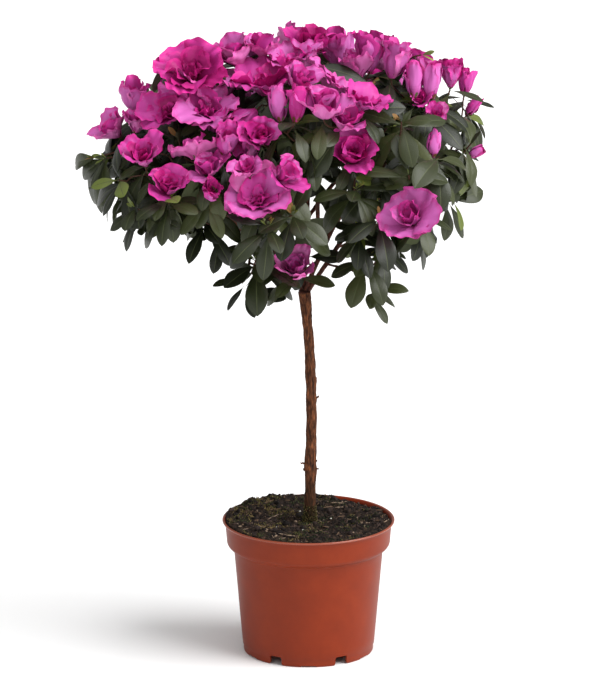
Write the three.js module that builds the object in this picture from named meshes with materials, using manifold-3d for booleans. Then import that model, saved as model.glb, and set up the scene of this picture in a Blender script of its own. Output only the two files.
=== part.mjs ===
// A flowering azalea trained as a small standard: a clear woody stem with a broad domed crown, growing in a
// round plastic nursery pot filled with peat.
//
// Millimetres, +Z up. The origin is the centre of the pot's flat underside. -Y is the front and +X the right.

import * as THREE from "three";
import { mergeVertices } from "three/addons/utils/BufferGeometryUtils.js";
import Module from "manifold-3d";

const wasm = await Module();
wasm.setup();

// ---------------------------------------------------------------- driving dimensions

const GAP = 0.3; // clearance kept between neighbouring solids

const pot = {
  height: 118,
  lipRadius: 75, // the thin flange round the mouth
  lipThickness: 2.4,
  collarRadius: 71,
  collarDepth: 19, // from the mouth to where the collar turns in
  shoulderDepth: 26, // from the mouth to where it meets the wall
  wallTopRadius: 64,
  footRadius: 56,
  footChamfer: 2,
  wall: 1.6,
  floorHeight: 7, // the floor's underside, above the feet
  floorThickness: 2,
  hubRadius: 20, // the boss under the middle of the floor, level with the feet
  segments: 36,
};
const notch = { count: 6, width: 11, height: 6 }; // the drainage gaps cut through the foot ring
const relief = { width: 14, height: 0.8 }; // the shallow step between two gaps

const soil = {
  edgeHeight: 112.5, // above the pot's underside
  middleHeight: 114.5, // ground level at the stem
  flatRadius: 11, // the level patch that the stem stands on
  heap: 3.2, // how much higher the left edge lies
  segments: 32,
};

const stem = {
  footX: 1.3,
  footY: 3,
  forkX: -3.5,
  forkHeight: 322,
  bow: 3.8, // how far its middle swings to the right of a straight line
  footRadius: 5.9, // over the slight root flare
  lowRadius: 4.9,
  highRadius: 4.2,
  forkRadius: 5.4, // where it swells into the fork
  flareHeight: 9,
  sides: 10,
  rings: 16,
};

const crown = {
  x: -23, // the crown leans a little to the left of the stem
  y: 0,
  skirtReach: 117, // from the crown's axis to the middle of a skirt mass
  skirtHeight: 446,
  skirtCount: 8,
  shoulderReach: 80,
  shoulderHeight: 503,
  shoulderCount: 5,
  topHeight: 524,
};
const skirtSize = [62, 54, 62]; // half sizes: outwards, round the crown, and up
const shoulderSize = [56, 51, 45];
const topSize = [52, 52, 33];
const massDetail = 2; // subdivisions of a mass's icosahedron
const lumpCount = 13; // rounded lumps on each mass
const lumpDepth = 0.2; // how deep the creases between them run, as a share of the radius

const limbSides = 6;
const limbRings = 9;
const limbWobble = 1.6; // how far a bough strays from its smooth line
const crumbShare = 0.12; // the least share of a cut bough that counts as the bough itself

// ---------------------------------------------------------------- small helpers

const polar = (x, y, reach, degrees, z) => {
  const a = THREE.MathUtils.degToRad(degrees);
  return new THREE.Vector3(x + reach * Math.cos(a), y + reach * Math.sin(a), z);
};

// A seeded stream of numbers from 0 to 1.
function randomStream(seed) {
  let state = seed >>> 0;
  return () => {
    state = (state + 0x6d2b79f5) >>> 0;
    let t = state;
    t = Math.imul(t ^ (t >>> 15), t | 1);
    t ^= t + Math.imul(t ^ (t >>> 7), t | 61);
    return ((t ^ (t >>> 14)) >>> 0) / 4294967296;
  };
}

function solidOf(geometry) {
  const bare = new THREE.BufferGeometry();
  bare.setAttribute("position", geometry.getAttribute("position"));
  bare.setIndex(geometry.index);
  const merged = mergeVertices(bare, 1e-4);
  return new wasm.Manifold(
    new wasm.Mesh({
      numProp: 3,
      vertProperties: new Float32Array(merged.attributes.position.array),
      triVerts: new Uint32Array(merged.index.array),
    }),
  );
}

function geometryOf(solid) {
  const mesh = solid.getMesh();
  const geometry = new THREE.BufferGeometry();
  geometry.setAttribute("position", new THREE.BufferAttribute(mesh.vertProperties, 3));
  geometry.setIndex(new THREE.BufferAttribute(mesh.triVerts, 1));
  geometry.computeVertexNormals();
  return geometry;
}

// The body of a cut solid that lies nearest to a point, passing over the crumbs that the cuts leave.
function bodyNear(solid, point) {
  const smallest = crumbShare * solid.volume();
  const distance = (body) => {
    const { vertProperties } = body.getMesh();
    let best = Infinity;
    for (let i = 0; i < vertProperties.length; i += 3) {
      best = Math.min(best, point.distanceTo(new THREE.Vector3().fromArray(vertProperties, i)));
    }
    return best;
  };
  const bodies = solid.decompose().filter((body) => body.volume() > smallest);
  return bodies.reduce((a, b) => (distance(b) < distance(a) ? b : a));
}

function largestBody(solid) {
  return solid.decompose().reduce((a, b) => (b.volume() > a.volume() ? b : a));
}

// ---------------------------------------------------------------- pot

function potProfile() {
  const top = pot.height;
  const arc = [0.25, 0.5, 0.75].map((share) => {
    const a = (share * Math.PI) / 2;
    return [
      pot.wallTopRadius + (pot.collarRadius - pot.wallTopRadius) * Math.cos(a),
      top - pot.collarDepth - (pot.shoulderDepth - pot.collarDepth) * Math.sin(a),
    ];
  });
  const floorTop = pot.floorHeight + pot.floorThickness;
  const outside = [
    [0, 0],
    [pot.hubRadius, 0],
    [pot.hubRadius + 2, pot.floorHeight],
    [pot.footRadius - pot.wall - 1, pot.floorHeight],
    [pot.footRadius - pot.wall - 1, 0],
    [pot.footRadius - pot.footChamfer, 0],
    [pot.footRadius, pot.footChamfer],
    [pot.wallTopRadius, top - pot.shoulderDepth],
    ...arc.reverse(),
    [pot.collarRadius, top - pot.collarDepth],
    [pot.collarRadius, top - pot.lipThickness],
    [pot.lipRadius - 0.6, top - pot.lipThickness],
    [pot.lipRadius, top - pot.lipThickness / 2],
    [pot.lipRadius - 0.8, top],
  ];
  const inside = [
    [pot.collarRadius - pot.wall, top],
    [pot.collarRadius - pot.wall, top - pot.collarDepth],
    [pot.wallTopRadius - pot.wall, top - pot.shoulderDepth],
    [insideRadius(floorTop), floorTop],
    [0, floorTop],
  ];
  return [...outside, ...inside].map(([r, z]) => new THREE.Vector2(r, z));
}

// The radius of the pot's inner face below its shoulder.
function insideRadius(z) {
  const share = (z - pot.footChamfer) / (pot.height - pot.shoulderDepth - pot.footChamfer);
  return pot.footRadius + (pot.wallTopRadius - pot.footRadius) * share - pot.wall;
}

// A block across the foot ring, in the direction given, from below the underside up to its height.
function footCut(width, height, degrees) {
  const depth = 14;
  const block = new THREE.BoxGeometry(depth, width, 2 * height);
  block.translate(pot.footRadius - depth / 2 + 4, 0, 0);
  block.rotateZ(THREE.MathUtils.degToRad(degrees));
  return solidOf(block);
}

function potGeometry() {
  const turned = new THREE.LatheGeometry(potProfile(), pot.segments);
  turned.rotateX(Math.PI / 2);
  let body = solidOf(turned);
  const pitch = 360 / notch.count;
  for (let i = 0; i < notch.count; i += 1) {
    body = body.subtract(footCut(notch.width, notch.height, i * pitch));
    body = body.subtract(footCut(relief.width, relief.height, (i + 0.5) * pitch));
  }
  return geometryOf(body);
}

// ---------------------------------------------------------------- soil

function soilGeometry() {
  const bottom = pot.floorHeight + pot.floorThickness + GAP;
  const shoulder = pot.height - pot.shoulderDepth;
  const edge = pot.collarRadius - pot.wall - GAP;
  const profile = [
    [0, bottom],
    [insideRadius(bottom) - GAP, bottom],
    [pot.wallTopRadius - pot.wall - GAP, shoulder],
    [edge, pot.height - pot.collarDepth],
    [edge, soil.edgeHeight],
    [edge * 0.82, soil.edgeHeight + 1],
    [edge * 0.5, soil.middleHeight - 1],
    [soil.flatRadius, soil.middleHeight],
    [0, soil.middleHeight],
  ].map(([r, z]) => new THREE.Vector2(r, z));
  const turned = new THREE.LatheGeometry(profile, soil.segments);
  turned.rotateX(Math.PI / 2);
  const place = turned.attributes.position;
  for (let i = 0; i < place.count; i += 1) {
    const [x, y, z] = [place.getX(i), place.getY(i), place.getZ(i)];
    const out = Math.hypot(x, y) / edge;
    if (z < soil.edgeHeight || out * edge < soil.flatRadius + 1) continue;
    const leftward = Math.max(0, (-x / edge) * out);
    const lumps = 0.7 * Math.sin(0.11 * x + 1) * Math.cos(0.13 * y) * out;
    place.setZ(i, z + soil.heap * leftward + lumps);
  }
  return geometryOf(solidOf(turned));
}

// ---------------------------------------------------------------- stem and boughs

// A closed tapering limb along a curve. With level rings its end faces are horizontal.
function limbGeometry({ curve, radiusAt, sides, rings, grow = 0, level = false }) {
  const body = new THREE.CylinderGeometry(1, 1, 1, sides, rings);
  const place = body.attributes.position;
  const { normals, binormals } = curve.computeFrenetFrames(rings, false);
  for (let i = 0; i < place.count; i += 1) {
    const t = THREE.MathUtils.clamp(place.getY(i) + 0.5, 0, 1);
    const ring = Math.round(t * rings);
    const radius = radiusAt(t) + grow;
    const across = level ? new THREE.Vector3(0, 1, 0) : binormals[ring];
    const aside = level ? new THREE.Vector3(1, 0, 0) : normals[ring];
    const point = curve
      .getPoint(t)
      .addScaledVector(across, radius * place.getX(i))
      .addScaledVector(aside, radius * place.getZ(i));
    place.setXYZ(i, point.x, point.y, point.z);
  }
  return body;
}

function limbSolid(shape, grow = 0) {
  const solid = solidOf(limbGeometry({ ...shape, grow }));
  if (solid.volume() > 0) return solid;
  throw new Error("a limb is inside out");
}

const groundLevel = soil.middleHeight + GAP;

const stemShape = {
  curve: new THREE.CatmullRomCurve3(
    [0, 0.2, 0.5, 0.8, 1].map((share) => {
      const straight = THREE.MathUtils.lerp(stem.footX, stem.forkX, share);
      return new THREE.Vector3(
        straight + stem.bow * Math.sin(Math.PI * share ** 1.3),
        stem.footY * (1 - share),
        THREE.MathUtils.lerp(groundLevel, stem.forkHeight, share),
      );
    }),
  ),
  radiusAt: (t) => {
    const up = t * (stem.forkHeight - groundLevel);
    const flare = (stem.footRadius - stem.lowRadius) * Math.exp(-up / (stem.flareHeight / 2));
    const swell = (stem.forkRadius - stem.highRadius) * THREE.MathUtils.smoothstep(t, 0.88, 1);
    return THREE.MathUtils.lerp(stem.lowRadius, stem.highRadius, t) + flare + swell;
  },
  sides: stem.sides,
  rings: stem.rings,
  level: true,
};

// A bough from a place on its parent to the middle of the mass that it feeds. It climbs first and then leans
// out.
function boughShape(parent, share, target, { radius, tip, climb }, seed) {
  const next = randomStream(seed);
  const from = parent.curve.getPoint(share);
  const middle = from.clone().lerp(target, 0.45);
  middle.z += climb;
  const smooth = new THREE.QuadraticBezierCurve3(from, middle, target);
  const [turn, twist] = [next() * Math.PI * 2, next() * Math.PI * 2];
  const points = Array.from({ length: 7 }, (_, i) => {
    const t = i / 6;
    const fade = Math.sin(Math.PI * t);
    const point = smooth.getPoint(t);
    point.x += limbWobble * fade * Math.sin(5 * t + turn);
    point.y += limbWobble * fade * Math.cos(6 * t + twist);
    return point;
  });
  return {
    curve: new THREE.CatmullRomCurve3(points),
    radiusAt: (t) => THREE.MathUtils.lerp(radius, tip, t),
    sides: limbSides,
    rings: limbRings,
  };
}

// ---------------------------------------------------------------- foliage masses

// An uneven closed lump: an ellipsoid whose radius rises towards scattered directions, with creases between.
function massSolid({ centre, half, turn = 0, seed, detail = massDetail }, grow = 0) {
  const next = randomStream(seed);
  const lumps = Array.from({ length: lumpCount }, () => {
    const up = 2 * next() - 1;
    const round = 2 * Math.PI * next();
    const flat = Math.sqrt(1 - up * up);
    return new THREE.Vector3(flat * Math.cos(round), flat * Math.sin(round), up);
  });
  const ball = new THREE.IcosahedronGeometry(1, detail);
  const place = ball.attributes.position;
  const way = new THREE.Vector3();
  for (let i = 0; i < place.count; i += 1) {
    way.fromBufferAttribute(place, i).normalize();
    const nearest = Math.max(...lumps.map((lump) => lump.dot(way)));
    const radius = 1 - lumpDepth * (1 - THREE.MathUtils.smoothstep(nearest, 0.55, 1));
    place.setXYZ(i, ...half.map((h, axis) => way.getComponent(axis) * (h * radius + grow)));
  }
  ball.rotateZ(THREE.MathUtils.degToRad(turn));
  ball.translate(centre.x, centre.y, centre.z);
  return solidOf(ball);
}

// Eight masses round the crown's skirt, named by where they stand.
const skirtNames = [
  "right",
  "back_right",
  "back",
  "back_left",
  "left",
  "front_left",
  "front",
  "front_right",
];
// How much each skirt mass differs from the usual: turned round, further out, higher, and its size.
const skirtUneven = {
  right: { round: -4, out: -2, up: 9, size: 1.11 },
  back_right: { round: 0, out: 0, up: 2, size: 1 },
  back: { round: 4, out: -4, up: -4, size: 1.02 },
  back_left: { round: 0, out: 2, up: 0, size: 0.98 },
  left: { round: 4, out: 1, up: -4, size: 0.97 },
  front_left: { round: -4, out: 0, up: -2, size: 1 },
  front: { round: -12, out: -6, up: 2, size: 0.98 },
  front_right: { round: 3, out: -1, up: 6, size: 0.98 },
};
const skirt = skirtNames.map((side, i) => {
  const { round, out, up, size } = skirtUneven[side];
  const turn = (360 / crown.skirtCount) * i + round;
  return {
    name: `foliage_${side}`,
    centre: polar(crown.x, crown.y, crown.skirtReach + out, turn, crown.skirtHeight + up),
    half: skirtSize.map((h) => h * size),
    turn,
    seed: 11 + i,
  };
});

// Five masses round the crown's shoulders, and how much further out and higher than usual each one lies.
const shoulderNames = ["right", "back", "back_left", "front_left", "front"];
const shoulderUneven = {
  right: { out: 16, up: 0 },
  back: { out: 0, up: -9 },
  back_left: { out: -10, up: -8 },
  front_left: { out: -3, up: -2 },
  front: { out: 0, up: 0 },
};
const shoulders = shoulderNames.map((side, i) => {
  const { out, up } = shoulderUneven[side];
  const turn = (360 / crown.shoulderCount) * i;
  return {
    name: `foliage_upper_${side}`,
    centre: polar(crown.x, crown.y, crown.shoulderReach + out, turn, crown.shoulderHeight + up),
    half: shoulderSize,
    turn,
    seed: 31 + i,
  };
});

const topMass = {
  name: "foliage_top",
  centre: new THREE.Vector3(crown.x, crown.y, crown.topHeight),
  half: topSize,
  seed: 41,
};

// Sprays that hang under the skirt, each on a bough of its own.
const at = (x, y, z) => new THREE.Vector3(x, y, z);
const sprays = [
  { name: "spray_front_left", centre: at(-53, -62, 353), half: [40, 32, 32], turn: 20, seed: 51 },
  { name: "spray_right", centre: at(59, -38, 345), half: [33, 30, 34], turn: -30, seed: 52 },
  { name: "spray_back_right", centre: at(58, 66, 360), half: [36, 32, 32], turn: 50, seed: 54 },
  { name: "spray_middle", centre: at(-13, -30, 354), half: [19, 17, 17], seed: 53, detail: 1 },
  { name: "spray_back_left", centre: at(-84, 60, 362), half: [38, 34, 30], turn: 140, seed: 55 },
];

const masses = [...skirt, ...shoulders, topMass, ...sprays];
const middleOf = (name) => masses.find((mass) => mass.name === name).centre;

// Each bough: its name, its parent and how far up the parent it starts, the mass that it feeds, and its size.
const sized = (radius, tip, climb) => ({ radius, tip, climb });
const boughPlan = [
  ["bough_right_upper", "stem", 1, "foliage_upper_right", sized(2.6, 1.7, 0)],
  ["bough_left", "stem", 1, "foliage_left", sized(2.8, 1.5, 14)],
  ["bough_back", "stem", 1, "foliage_upper_back", sized(2.6, 1.5, 6)],
  ["bough_right", "stem", 0.975, "foliage_right", sized(1.9, 1.3, 12)],
  ["bough_upper_front_left", "bough_left", 0.16, "foliage_upper_front_left", sized(1.9, 1.3, 6)],
  ["bough_front_left", "bough_left", 0.3, "foliage_front_left", sized(1.8, 1.3, 12)],
  ["bough_upper_back_left", "bough_back", 0.12, "foliage_upper_back_left", sized(2, 1.4, 6)],
  ["bough_back_left", "bough_upper_back_left", 0.2, "foliage_back_left", sized(1.8, 1.3, 8)],
  ["bough_back_middle", "bough_back", 0.26, "foliage_back", sized(1.8, 1.3, 8)],
  ["bough_back_right", "bough_back", 0.34, "foliage_back_right", sized(1.7, 1.3, 4)],
  ["bough_front_right", "bough_right_upper", 0.34, "foliage_front_right", sized(1.7, 1.2, 8)],
  ["bough_upper_front", "bough_right_upper", 0.2, "foliage_upper_front", sized(1.7, 1.2, 4)],
  ["bough_front", "bough_upper_front_left", 0.2, "foliage_front", sized(1.6, 1.2, 6)],
  ["bough_top", "bough_upper_back_left", 0.3, "foliage_top", sized(1.6, 1.2, 0)],
  ["bough_spray_right", "bough_right", 0.2, "spray_right", sized(1.2, 0.9, 2)],
  ["bough_spray_front_left", "bough_front_left", 0.12, "spray_front_left", sized(1.2, 0.9, 6)],
  ["bough_spray_middle", "bough_upper_front_left", 0.06, "spray_middle", sized(1.1, 0.9, 2)],
  ["bough_spray_back_right", "bough_back", 0.1, "spray_back_right", sized(1.2, 0.9, 8)],
  ["bough_spray_back_left", "bough_back_left", 0.2, "spray_back_left", sized(1.2, 0.9, 2)],
];

// ---------------------------------------------------------------- assembly

const looks = {
  pot: { color: 0xa8492d, roughness: 0.42, metalness: 0 },
  soil: { color: 0x2e261c, roughness: 0.95, metalness: 0 },
  bark: { color: 0x6b4630, roughness: 0.9, metalness: 0 },
  foliage: { color: 0x3c4530, roughness: 0.7, metalness: 0 },
};

const azalea = new THREE.Group();

function add(name, geometry, look) {
  const mesh = new THREE.Mesh(geometry, new THREE.MeshStandardMaterial(looks[look]));
  mesh.name = name;
  azalea.add(mesh);
}

add("pot", potGeometry(), "pot");
add("soil", soilGeometry(), "soil");
add("stem", geometryOf(limbSolid(stemShape)), "bark");

// Masses first take their room from one another, in order, and the boughs then end where they reach one.
const grownMasses = [];
masses.forEach((mass) => {
  const free = grownMasses.reduce((solid, other) => solid.subtract(other), massSolid(mass));
  grownMasses.push(massSolid(mass, GAP));
  add(mass.name, geometryOf(largestBody(free)), "foliage");
});

const shapes = { stem: stemShape };
const grownLimbs = [limbSolid(stemShape, GAP)];
boughPlan.forEach(([name, parent, share, target, size], i) => {
  const shape = boughShape(shapes[parent], share, middleOf(target), size, 71 + i);
  shapes[name] = shape;
  const inTheWay = [...grownLimbs, ...grownMasses];
  const free = inTheWay.reduce((solid, other) => solid.subtract(other), limbSolid(shape));
  grownLimbs.push(limbSolid(shape, GAP));
  add(name, geometryOf(bodyNear(free, shape.curve.getPoint(0))), "bark");
});

export default azalea;
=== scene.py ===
"""Looks for the azalea standard: bark, twigs, leaves and double blooms, the nursery pot and its mossy peat.

Shapes are worked out in millimetres in the part's own frame: the origin is the centre of the pot's
underside, +Z is up, -Y is the front and +X the right. They become metres when a mesh is made.
"""

import math

import bpy
import numpy as np
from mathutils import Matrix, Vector, noise
from mathutils.bvhtree import BVHTree


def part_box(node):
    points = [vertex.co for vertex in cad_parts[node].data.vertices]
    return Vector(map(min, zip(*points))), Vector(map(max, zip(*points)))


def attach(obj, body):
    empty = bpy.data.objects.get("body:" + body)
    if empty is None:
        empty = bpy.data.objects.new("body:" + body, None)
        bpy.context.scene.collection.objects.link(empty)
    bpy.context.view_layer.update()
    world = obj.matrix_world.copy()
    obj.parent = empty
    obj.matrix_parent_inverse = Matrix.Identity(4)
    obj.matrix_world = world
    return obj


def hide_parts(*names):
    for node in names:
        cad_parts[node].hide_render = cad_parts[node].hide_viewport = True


MM = 0.001
MOST_TRIANGLES = 190_000  # in one joined piece
GOLDEN_ANGLE = math.radians(137.5)
UP = np.array([0.0, 0.0, 1.0])

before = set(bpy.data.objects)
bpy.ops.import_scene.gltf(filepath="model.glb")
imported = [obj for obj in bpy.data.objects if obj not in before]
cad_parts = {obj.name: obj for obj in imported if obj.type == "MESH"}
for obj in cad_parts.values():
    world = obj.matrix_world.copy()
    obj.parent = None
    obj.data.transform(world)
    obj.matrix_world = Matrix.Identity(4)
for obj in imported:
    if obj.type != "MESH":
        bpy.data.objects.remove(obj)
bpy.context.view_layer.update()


def place_object(name, data):
    thing = bpy.data.objects.new(name, data)
    bpy.context.scene.collection.objects.link(thing)
    return thing


# ---------------------------------------------------------------- camera and light

CAMERA_RISE = math.radians(15.3)  # how far above the level it looks down from
CAMERA_DISTANCE = 6.0
CAMERA_AIM = Vector((-0.00735, 0.0, 0.2776))
CAMERA_LENS = 366.0

camera = place_object("camera", bpy.data.cameras.new("camera"))
to_camera = Vector((0.0, -math.cos(CAMERA_RISE), math.sin(CAMERA_RISE)))
camera.location = CAMERA_AIM + to_camera * CAMERA_DISTANCE
camera.rotation_euler = (-to_camera).to_track_quat("-Z", "Y").to_euler()
camera.data.lens = CAMERA_LENS
camera.data.clip_end = 100.0
bpy.context.scene.camera = camera
bpy.context.scene.view_settings.view_transform = "Standard"


def add_sun(name, strength, softness, azimuth, height):
    """A soft distant light. Azimuth 0 is the front and 90 the right, and angles are in degrees."""
    data = bpy.data.lights.new(name, "SUN")
    data.energy = strength
    data.angle = math.radians(softness)
    a, h = math.radians(azimuth), math.radians(height)
    source = Vector((math.sin(a) * math.cos(h), -math.cos(a) * math.cos(h), math.sin(h)))
    place_object(name, data).rotation_euler = (-source).to_track_quat("-Z", "Y").to_euler()


add_sun("key", 3.6, 50, 66, 37)
add_sun("top", 1.2, 60, 20, 78)
add_sun("fill", 0.5, 50, -15, 12)

world = bpy.data.worlds.new("studio")
bpy.context.scene.world = world
world.use_nodes = True
world.node_tree.nodes["Background"].inputs["Color"].default_value = (1.0, 1.0, 1.0, 1.0)
world.node_tree.nodes["Background"].inputs["Strength"].default_value = 0.36

# ---------------------------------------------------------------- materials


def linear(colour):
    """A hex colour as linear red, green, blue and an opaque alpha."""
    parts = [int(colour[i : i + 2], 16) / 255 for i in (1, 3, 5)]
    return (*[c / 12.92 if c <= 0.04045 else ((c + 0.055) / 1.055) ** 2.4 for c in parts], 1.0)


def shader_of(material):
    return material.node_tree.nodes["Principled BSDF"]


def set_inputs(node, inputs):
    """Gives each named input of a shader node its value, or the output of another node."""
    for name, value in inputs.items():
        if isinstance(value, bpy.types.NodeSocket):
            node.id_data.links.new(value, node.inputs[name])
        else:
            node.inputs[name].default_value = value


def add_node(material, kind, output, inputs):
    """Adds a shader node to a material and returns one of its outputs."""
    node = material.node_tree.nodes.new("ShaderNode" + kind)
    set_inputs(node, inputs)
    return node.outputs[output]


def add_relief(material, place, size, strength, depth, detail):
    """Fine bumps of a size in millimetres, as deep as a share of it."""
    pattern = {"Vector": place, "Scale": 1 / (size * MM), "Detail": detail}
    grain = add_node(material, "TexNoise", "Fac", pattern)
    bumps = {"Height": grain, "Strength": strength, "Distance": depth * size * MM}
    set_inputs(shader_of(material), {"Normal": add_node(material, "Bump", "Normal", bumps)})


def plain_material(name, colour, roughness, specular=0.5, bump=None):
    """A shader of one base colour. bump is the size in millimetres and the strength of its fine relief."""
    material = bpy.data.materials.new(name)
    material.use_nodes = True
    gloss = {"Roughness": roughness, "Specular IOR Level": specular}
    set_inputs(shader_of(material), {"Base Color": linear(colour), **gloss})
    if bump:
        add_relief(material, add_node(material, "TexCoord", "Object", {}), *bump, 0.3, 3.0)
    return material


def plain_materials(name, colours, *looks):
    return [plain_material(f"{name}_{i}", colour, *looks) for i, colour in enumerate(colours)]


def mottled_material(name, colours, size, stretch, roughness, bump, specular=0.2):
    """A shader whose colour wanders through several, by noise of a size in millimetres stretched along Z."""
    material = plain_material(name, colours[0], roughness[0], specular)
    place = add_node(material, "TexCoord", "Object", {})
    place = add_node(material, "Mapping", "Vector", {"Vector": place, "Scale": (1.0, 1.0, 1 / stretch)})
    pattern = {"Vector": place, "Scale": 1 / (size * MM), "Detail": 6.0, "Roughness": 0.65}
    broad = add_node(material, "TexNoise", "Fac", pattern)
    tint = add_node(material, "ValToRGB", "Color", {"Fac": broad})
    stops = tint.node.color_ramp.elements
    places = np.linspace(0.34, 0.68, len(colours))
    for at in places[1:-1]:
        stops.new(at)
    for stop, at, colour in zip(stops, places, colours):
        stop.position = at
        stop.color = linear(colour)
    levels = {"Value": broad, "To Min": roughness[0], "To Max": roughness[1]}
    gloss = add_node(material, "MapRange", "Result", levels)
    set_inputs(shader_of(material), {"Base Color": tint, "Roughness": gloss})
    add_relief(material, place, *bump, 0.4, 4.0)
    return material


def darken_foot(material, colour, low, high):
    """Blends a material's colour into another one below a height, fully so below a lower one."""
    above = shader_of(material).inputs["Base Color"].links[0].from_socket
    place = add_node(material, "TexCoord", "Object", {})
    height = add_node(material, "SeparateXYZ", "Z", {"Vector": place})
    levels = {"From Min": low * MM, "From Max": high * MM, "To Min": 1.0, "To Max": 0.0}
    fade = add_node(material, "MapRange", "Result", {**levels, "Value": height})
    blend = material.node_tree.nodes.new("ShaderNodeMix")
    blend.data_type = "RGBA"
    set_inputs(blend, {"Factor": fade, "A": above, "B": linear(colour)})
    set_inputs(shader_of(material), {"Base Color": blend.outputs["Result"]})


# ---------------------------------------------------------------- meshes from arrays


def unit(v):
    return v / np.maximum(np.linalg.norm(v, axis=-1, keepdims=True), 1e-9)


def smooth_step(x):
    x = np.clip(x, 0.0, 1.0)
    return x * x * (3 - 2 * x)


def across_of(direction, towards):
    """Two unit vectors square to a direction, the second as near as possible to towards."""
    side = np.cross(towards, direction)
    along = np.linalg.norm(side, axis=-1, keepdims=True) < 1e-3
    side = unit(np.where(along, np.cross([0.31, 0.9, 0.2], direction), side))
    return side, np.cross(direction, side)


def round_angles(count):
    return np.linspace(0, 2 * math.pi, count, endpoint=False)


def skin_over(grid, closed=False):
    """The points and faces of a grid of points, (rows, columns, 3), or of a stack of grids.

    closed joins the last column to the first.
    """
    index = np.arange(grid.size // 3).reshape(-1, *grid.shape[-3:-1])
    if closed:
        index = np.concatenate([index, index[:, :, :1]], axis=2)
    corners = [index[:, :-1, :-1], index[:, :-1, 1:], index[:, 1:, 1:], index[:, 1:, :-1]]
    return grid.reshape(-1, 3), np.stack(corners, -1).reshape(-1, 4)


def joined(skins):
    """The points and faces of several skins as one skin."""
    points, faces = zip(*skins)
    starts = np.cumsum([0, *map(len, points)])
    return np.concatenate(points), np.concatenate([f + start for f, start in zip(faces, starts)])


def put_on(piece, nodes):
    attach(piece, "root")
    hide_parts(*nodes)


def add_mesh(name, skin, materials, face_materials=None):
    """A smooth-shaded object from points in millimetres and faces of four corners."""
    points, faces = skin
    mesh = bpy.data.meshes.new(name)
    mesh.vertices.add(len(points))
    mesh.vertices.foreach_set("co", (points * MM).astype(np.float32).ravel())
    mesh.loops.add(faces.size)
    mesh.loops.foreach_set("vertex_index", faces.astype(np.int32).ravel())
    mesh.polygons.add(len(faces))
    mesh.polygons.foreach_set("loop_start", np.arange(0, faces.size, 4, dtype=np.int32))
    mesh.polygons.foreach_set("use_smooth", np.ones(len(faces), bool))
    for material in materials:
        mesh.materials.append(material)
    if face_materials is not None:
        mesh.polygons.foreach_set("material_index", face_materials.astype(np.int32))
    mesh.update(calc_edges=True)
    return place_object(name, mesh)


def add_pieces(name, materials, nodes, batches):
    """Joins small things of one kind into as few pieces as the limit on triangles allows.

    Each batch is a stack of grids, (count, rows, columns, 3), and a material number for each of its faces.
    """
    pieces, triangles = [[]], 0
    for grid, tones in batches:
        step = max(1, MOST_TRIANGLES // 4 // (2 * tones[0].size))
        for i in range(0, len(grid), step):
            some = tones[i : i + step].ravel()
            if triangles + 2 * some.size > MOST_TRIANGLES:
                pieces.append([])
                triangles = 0
            pieces[-1].append((skin_over(grid[i : i + step]), some))
            triangles += 2 * some.size
    for number, members in enumerate(pieces, 1):
        skins, tones = zip(*members)
        put_on(add_mesh(f"{name}_{number}", joined(skins), materials, np.concatenate(tones)), nodes)


# ---------------------------------------------------------------- what the CAD part says

mass_nodes = [n for n in sorted(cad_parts) if n.startswith(("foliage", "spray"))]
bough_nodes = [n for n in sorted(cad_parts) if n.startswith("bough")]


def points_of(node):
    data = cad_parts[node].data
    points = np.zeros(len(data.vertices) * 3, np.float32)
    data.vertices.foreach_get("co", points)
    return points.reshape(-1, 3).astype(float) / MM


def resample(path, spacing):
    """Points at about an even spacing along a smooth curve through a path."""
    ends = np.concatenate([2 * path[:1] - path[1:2], path, 2 * path[-1:] - path[-2:-1]])
    found = []
    for i, length in enumerate(np.linalg.norm(np.diff(path, axis=0), axis=1)):
        a, b, c, d = ends[i : i + 4]
        bend, twist = 2 * a - 5 * b + 4 * c - d, 3 * b - a - 3 * c + d
        for t in np.linspace(0, 1, max(2, round(length / spacing)), endpoint=False):
            found.append(0.5 * (2 * b + (c - a) * t + bend * t**2 + twist * t**3))
    return np.array([*found, path[-1]])


def spread(values, count):
    return np.interp(np.linspace(0, 1, count), np.linspace(0, 1, len(values)), values)


stem_skin = points_of("stem")
stem_levels = np.unique(np.round(stem_skin[:, 2], 1))
stem_rings = [stem_skin[np.abs(stem_skin[:, 2] - level) < 0.3] for level in stem_levels]
stem_path = np.array([ring.mean(0) for ring in stem_rings])
stem_radii = np.array([np.linalg.norm((r - r.mean(0))[:, :2], axis=1).max() for r in stem_rings])
fork = stem_path[-1]

mass_skins = {name: points_of(name) for name in mass_nodes}
mass_middles = {name: (skin.min(0) + skin.max(0)) / 2 for name, skin in mass_skins.items()}
crown_skin = np.concatenate(list(mass_skins.values()))
crown_middle = (crown_skin.min(0) + crown_skin.max(0)) / 2


def at_height(path, height):
    """The point of a rising path at a height, or at each of several."""
    return np.stack([np.interp(height, path[:, 2], path[:, i]) for i in range(3)], -1)


def bough_line(name):
    """The middle and the radius of a bough at even steps from its parent to its mass."""
    skin = points_of(name)
    out = np.linalg.norm(skin - fork, axis=1)
    start = skin[out < np.quantile(out, 0.12)].mean(0)
    end = skin[out > np.quantile(out, 0.88)].mean(0)
    axis = unit(end - start)
    along = (skin - start) @ axis
    stations = np.linspace(along.min(), along.max(), 9)
    reach = 0.9 * (stations[1] - stations[0])
    middles, radii = [], []
    for station in stations:
        near = skin[np.abs(along - station) < reach]
        if len(near) < 4:
            continue
        off = near - near.mean(0)
        off -= np.outer(off @ axis, axis)
        middles.append(near.mean(0))
        radii.append(np.linalg.norm(off, axis=1).mean())
    return np.array(middles), np.array(radii)


FED_BY_OTHER_NAMES = {
    "bough_back": "foliage_upper_back",
    "bough_back_middle": "foliage_back",
    "bough_right_upper": "foliage_upper_right",
}


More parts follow.
